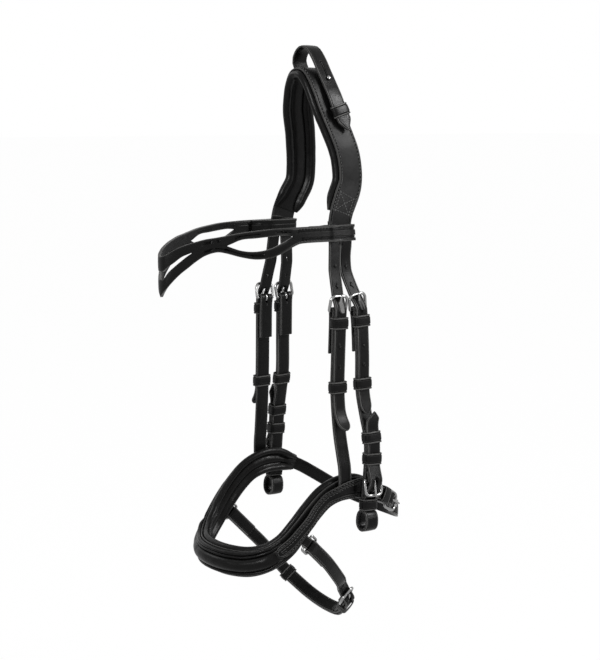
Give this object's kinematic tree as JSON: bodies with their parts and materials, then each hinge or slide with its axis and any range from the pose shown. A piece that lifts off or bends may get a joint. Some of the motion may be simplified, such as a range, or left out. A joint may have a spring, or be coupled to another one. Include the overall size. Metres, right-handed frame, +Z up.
{
  "type": "icelandic bridle",
  "caption": "Leather riding bridle with a padded forked crown, buckled cheeks with bit loops, a shaped browband, a padded drop noseband and a buckled chin strap.",
  "frame": {"origin": "the underside of the crown padding at the top of the head, in the middle of the bridle", "axes": "+Z up; the horse faces -Y; +X is the near (left) side of the horse"},
  "size_m": [0.1658, 0.2377, 0.5092],
  "materials": {
    "black_leather": "semi-matt black strap leather, creased along the edges and sewn",
    "padded_leather": "soft matt black leather over padding",
    "polished_steel": "polished stainless wire and turned steel"
  },
  "bodies": {
    "strapwork": {"cheek_strap_near": "black_leather", "cheek_fixed_keeper_near": "black_leather", "bit_chape_near": "black_leather", "bit_upper_keeper_near": "black_leather", "bit_lower_keeper_near": "black_leather", "bit_loop_keeper_near": "black_leather", "hanger_strap_near": "black_leather", "hanger_fixed_keeper_near": "black_leather", "noseband_overlay_near": "black_leather", "chin_tab_near": "black_leather", "cheek_strap_far": "black_leather", "cheek_fixed_keeper_far": "black_leather", "bit_chape_far": "black_leather", "bit_upper_keeper_far": "black_leather", "bit_lower_keeper_far": "black_leather", "bit_loop_keeper_far": "black_leather", "hanger_strap_far": "black_leather", "hanger_fixed_keeper_far": "black_leather", "noseband_overlay_far": "black_leather", "chin_tab_far": "black_leather", "headpiece": "black_leather", "hanging_strap": "black_leather", "hanging_keeper": "black_leather", "noseband_backing": "black_leather", "jaw_chape": "black_leather", "jaw_strap": "black_leather", "jaw_keeper": "black_leather", "chin_buckle_strap": "black_leather", "chin_billet_strap": "black_leather", "chin_fixed_keeper": "black_leather", "crown_pad": "padded_leather", "noseband_lining": "padded_leather", "nose_roll": "padded_leather", "cheek_buckle_frame_near": "polished_steel", "bit_buckle_frame_near": "polished_steel", "hanger_buckle_frame_near": "polished_steel", "chin_ring_near": "polished_steel", "cheek_buckle_frame_far": "polished_steel", "bit_buckle_frame_far": "polished_steel", "hanger_buckle_frame_far": "polished_steel", "chin_ring_far": "polished_steel", "hanging_stud": "polished_steel", "jaw_buckle_frame": "polished_steel", "chin_buckle_frame": "polished_steel"},
    "browband_body": {"browband": "black_leather"},
    "hanger_buckle_tongue_near_body": {"hanger_buckle_tongue_near": "polished_steel"},
    "cheek_buckle_tongue_near_body": {"cheek_buckle_tongue_near": "polished_steel"},
    "bit_buckle_tongue_near_body": {"bit_buckle_tongue_near": "polished_steel"},
    "hanger_runner_near_body": {"hanger_runner_near": "black_leather"},
    "cheek_runner_keeper_near_body": {"cheek_runner_keeper_near": "black_leather"},
    "hanger_buckle_tongue_far_body": {"hanger_buckle_tongue_far": "polished_steel"},
    "cheek_buckle_tongue_far_body": {"cheek_buckle_tongue_far": "polished_steel"},
    "bit_buckle_tongue_far_body": {"bit_buckle_tongue_far": "polished_steel"},
    "hanger_runner_far_body": {"hanger_runner_far": "black_leather"},
    "cheek_runner_keeper_far_body": {"cheek_runner_keeper_far": "black_leather"},
    "jaw_buckle_tongue_body": {"jaw_buckle_tongue": "polished_steel"},
    "jaw_roller_body": {"jaw_roller": "polished_steel"},
    "chin_buckle_tongue_body": {"chin_buckle_tongue": "polished_steel"},
    "chin_runner_body": {"chin_runner": "black_leather"}
  },
  "joints": [
    {"name": "browband_slide", "type": "slide", "parent": "strapwork", "child": "browband_body", "axis": [0, 0, 1], "range_m": [-0.001, 0.002]},
    {"name": "hanger_tongue_hinge_near", "type": "hinge", "parent": "strapwork", "child": "hanger_buckle_tongue_near_body", "pos_m": [0.05461, -0.01192, -0.1935], "axis": [0.0029, 0.999, -0.0439], "range_deg": [0, 8]},
    {"name": "cheek_tongue_hinge_near", "type": "hinge", "parent": "strapwork", "child": "cheek_buckle_tongue_near_body", "pos_m": [0.05453, 0.00956, -0.1935], "axis": [-0.0165, 0.9953, 0.0958], "range_deg": [0, 8]},
    {"name": "bit_tongue_hinge_near", "type": "hinge", "parent": "strapwork", "child": "bit_buckle_tongue_near_body", "pos_m": [0.0759, 0.01065, -0.33802], "axis": [0.0002, -0.9972, 0.0746], "range_deg": [0, 8]},
    {"name": "hanger_runner_slide_near", "type": "slide", "parent": "strapwork", "child": "hanger_runner_near_body", "axis": [0.0194, -0.0074, -0.9998], "range_m": [-0.005, 0.005]},
    {"name": "cheek_runner_slide_near", "type": "slide", "parent": "strapwork", "child": "cheek_runner_keeper_near_body", "axis": [0.0568, 0.0071, -0.9984], "range_m": [-0.004, 0.005]},
    {"name": "hanger_tongue_hinge_far", "type": "hinge", "parent": "strapwork", "child": "hanger_buckle_tongue_far_body", "pos_m": [-0.05461, -0.01192, -0.1935], "axis": [0.0029, -0.999, 0.0439], "range_deg": [0, 8]},
    {"name": "cheek_tongue_hinge_far", "type": "hinge", "parent": "strapwork", "child": "cheek_buckle_tongue_far_body", "pos_m": [-0.05453, 0.00956, -0.1935], "axis": [-0.0165, -0.9953, -0.0958], "range_deg": [0, 8]},
    {"name": "bit_tongue_hinge_far", "type": "hinge", "parent": "strapwork", "child": "bit_buckle_tongue_far_body", "pos_m": [-0.0759, 0.01065, -0.33802], "axis": [0.0002, 0.9972, -0.0746], "range_deg": [0, 8]},
    {"name": "hanger_runner_slide_far", "type": "slide", "parent": "strapwork", "child": "hanger_runner_far_body", "axis": [-0.0665, 0.01, -0.9977], "range_m": [-0.005, 0.003]},
    {"name": "cheek_runner_slide_far", "type": "slide", "parent": "strapwork", "child": "cheek_runner_keeper_far_body", "axis": [-0.2165, 0.0308, -0.9758], "range_m": [-0.004, 0.005]},
    {"name": "jaw_tongue_hinge", "type": "hinge", "parent": "strapwork", "child": "jaw_buckle_tongue_body", "pos_m": [0.057, 0.0415, -0.36314], "axis": [0.2048, -0.4865, -0.8493], "range_deg": [0, 8]},
    {"name": "jaw_roller_spin", "type": "hinge", "parent": "strapwork", "child": "jaw_roller_body", "pos_m": [0.05448, 0.05264, -0.36997], "axis": [-0.2048, 0.4865, 0.8493], "continuous": true},
    {"name": "chin_tongue_hinge", "type": "hinge", "parent": "strapwork", "child": "chin_buckle_tongue_body", "pos_m": [0.03153, 0.01534, -0.45681], "axis": [-0.0866, 0.8381, 0.5385], "range_deg": [0, 8]},
    {"name": "chin_runner_slide", "type": "slide", "parent": "strapwork", "child": "chin_runner_body", "axis": [-0.5679, -0.4744, 0.6726], "range_m": [-0.005, 0.005]}
  ]
}
